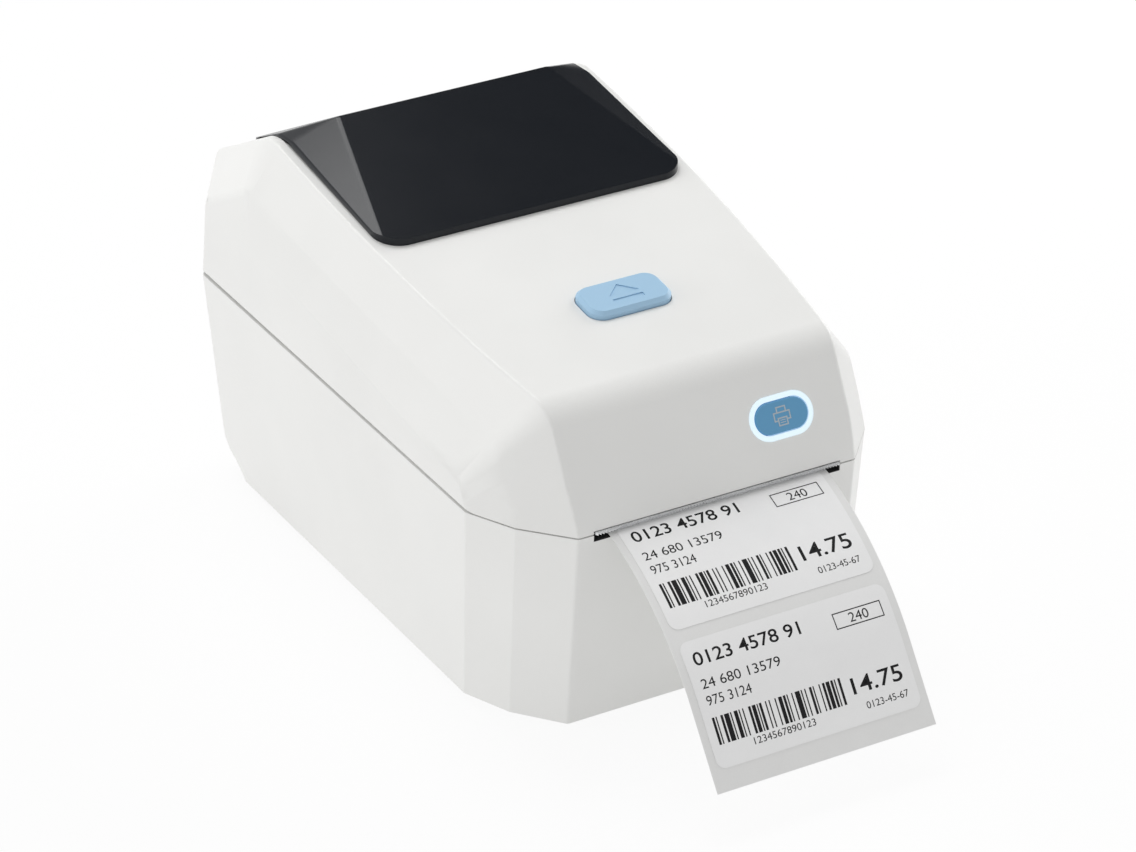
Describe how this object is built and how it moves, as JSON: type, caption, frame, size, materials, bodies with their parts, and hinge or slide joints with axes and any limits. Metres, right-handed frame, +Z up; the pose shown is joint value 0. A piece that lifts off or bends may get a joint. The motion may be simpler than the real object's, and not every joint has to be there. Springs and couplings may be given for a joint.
{
  "type": "thermal label printer",
  "caption": "Desktop thermal label printer with a hinged clamshell lid over a label roll bay, print head, driven platen roller, tear bar and a label strip hanging out of its front slot.",
  "frame": {"origin": "under the middle of the whole footprint, hanging strip included, on the plane of the feet", "axes": "+Z up, -Y to the front where the labels come out, +X to the right seen from the front"},
  "size_m": [0.1368, 0.2826, 0.1332],
  "materials": {
    "shell_white": "fine satin moulded white",
    "shell_grey": "satin moulded grey",
    "inner_white": "satin moulded off-white",
    "inner_grey": "satin moulded dark grey",
    "black_plastic": "matt black",
    "window_smoke": "smoked, fine satin gloss",
    "open_blue": "satin light blue",
    "feed_blue": "satin mid blue",
    "light_ring": "lit milky light guide",
    "foot_rubber": "matt",
    "platen_rubber": "ground matt",
    "label_paper": "smooth coated",
    "liner_paper": "glassine, slight sheen",
    "card": "spiral-wound card",
    "steel": "zinc plated",
    "sheet_steel": "galvanised sheet",
    "plated_steel": "bright nickel",
    "spring_steel": "drawn wire",
    "motor_can": "black stove enamel",
    "brass": "machined",
    "gear_plastic": "natural acetal",
    "bush_plastic": "self-lubricating",
    "ceramic": "glazed heating line",
    "aluminium": "extruded",
    "board_green": "solder resist"
  },
  "bodies": {
    "base": {"lower_case": "shell_white", "hatch": "shell_grey", "hatch_screws": "steel", "feet": "foot_rubber", "media_tray": "inner_white", "deck_screws": "steel", "frame_screws": "steel", "gap_sensor": "black_plastic", "label_strip": "liner_paper", "labels": "label_paper", "pinion_keeper": "steel", "print_frame": "sheet_steel", "platen_bushings": "bush_plastic", "idler_stud": "steel", "catch_studs": "steel", "stepper_motor": "motor_can", "motor_screws": "steel", "main_board": "board_green", "board_screws": "steel", "board_components": "black_plastic", "port_board": "board_green", "usb_socket": "plated_steel", "usb_tongue": "black_plastic", "power_socket": "black_plastic", "power_pin": "plated_steel", "hinge_pins": "steel"},
    "platen": {"platen_shaft": "steel", "platen_rubber": "platen_rubber", "platen_gear": "gear_plastic"},
    "idler": {"idler_gear": "gear_plastic"},
    "motor_rotor": {"motor_pinion": "brass", "motor_shaft": "steel"},
    "roll": {"label_roll": "label_paper", "roll_core": "card"},
    "left_holder": {"left_roll_holder": "inner_grey"},
    "right_holder": {"right_roll_holder": "inner_grey"},
    "pinion": {"holder_pinion": "gear_plastic"},
    "lid": {"lid_shell": "shell_white", "window_cover": "window_smoke", "lid_frame": "inner_white", "lid_screws": "steel", "hold_down_rod": "plated_steel", "head_pivot_pin": "steel", "tear_bar": "sheet_steel", "tear_bar_screws": "steel", "head_springs": "spring_steel", "open_springs": "spring_steel", "feed_ring": "light_ring", "button_board": "board_green", "feed_switch": "black_plastic"},
    "print_head": {"head_ceramic": "ceramic", "head_sink": "aluminium", "head_bracket": "sheet_steel"},
    "open_key": {"open_button": "open_blue"},
    "latch": {"latch_bar": "inner_grey"},
    "feed_key": {"feed_button": "feed_blue"}
  },
  "joints": [
    {"name": "lid_hinge", "type": "hinge", "parent": "base", "child": "lid", "pos_m": [0, 0.13809, 0.069], "axis": [-1, 0, 0], "range_deg": [0, 95]},
    {"name": "open_press", "type": "slide", "parent": "lid", "child": "open_key", "axis": [0, 0.1349, -0.9909], "range_m": [0, 0.002], "stiffness_N_per_m": 1500, "springref_m": -0.002, "deforming": ["open_springs"]},
    {"name": "latch_turn", "type": "hinge", "parent": "lid", "child": "latch", "pos_m": [0, -0.02891, 0.088], "axis": [-1, 0, 0], "range_deg": [0, 11]},
    {"name": "feed_press", "type": "slide", "parent": "lid", "child": "feed_key", "axis": [0, 0.8886, -0.4587], "range_m": [0, 0.0008], "stiffness_N_per_m": 1500, "springref_m": -0.0008},
    {"name": "head_float", "type": "hinge", "parent": "lid", "child": "print_head", "pos_m": [0, -0.04091, 0.075], "axis": [-1, 0, 0], "range_deg": [0, 2], "stiffness_Nm_per_rad": 3, "springref_deg": -5.73, "deforming": ["head_springs"]},
    {"name": "platen_spin", "type": "hinge", "parent": "base", "child": "platen", "pos_m": [0, -0.06291, 0.0606], "axis": [1, 0, 0], "continuous": true},
    {"name": "idler_spin", "type": "hinge", "parent": "base", "child": "idler", "pos_m": [0, -0.05391, 0.04501], "axis": [1, 0, 0], "continuous": true},
    {"name": "motor_spin", "type": "hinge", "parent": "base", "child": "motor_rotor", "pos_m": [0, -0.03935, 0.04138], "axis": [1, 0, 0], "continuous": true},
    {"name": "roll_spin", "type": "hinge", "parent": "base", "child": "roll", "pos_m": [0, 0.07909, 0.06], "axis": [1, 0, 0], "continuous": true},
    {"name": "left_holder_slide", "type": "slide", "parent": "base", "child": "left_holder", "axis": [-1, 0, 0], "range_m": [0, 0.016]},
    {"name": "right_holder_slide", "type": "slide", "parent": "base", "child": "right_holder", "axis": [1, 0, 0], "range_m": [0, 0.016]},
    {"name": "pinion_turn", "type": "hinge", "parent": "base", "child": "pinion", "pos_m": [0, 0.07909, 0.01005], "axis": [0, 0, -1], "range_deg": [0, 115]}
  ],
  "couplings": [
    {"joint": "latch_turn", "follows": "open_press", "rad_per_m": 92.5},
    {"joint": "idler_spin", "follows": "platen_spin", "ratio": -0.66667},
    {"joint": "motor_spin", "follows": "platen_spin", "ratio": 1.7143},
    {"joint": "right_holder_slide", "follows": "left_holder_slide", "ratio": 1},
    {"joint": "pinion_turn", "follows": "left_holder_slide", "rad_per_m": 125}
  ]
}
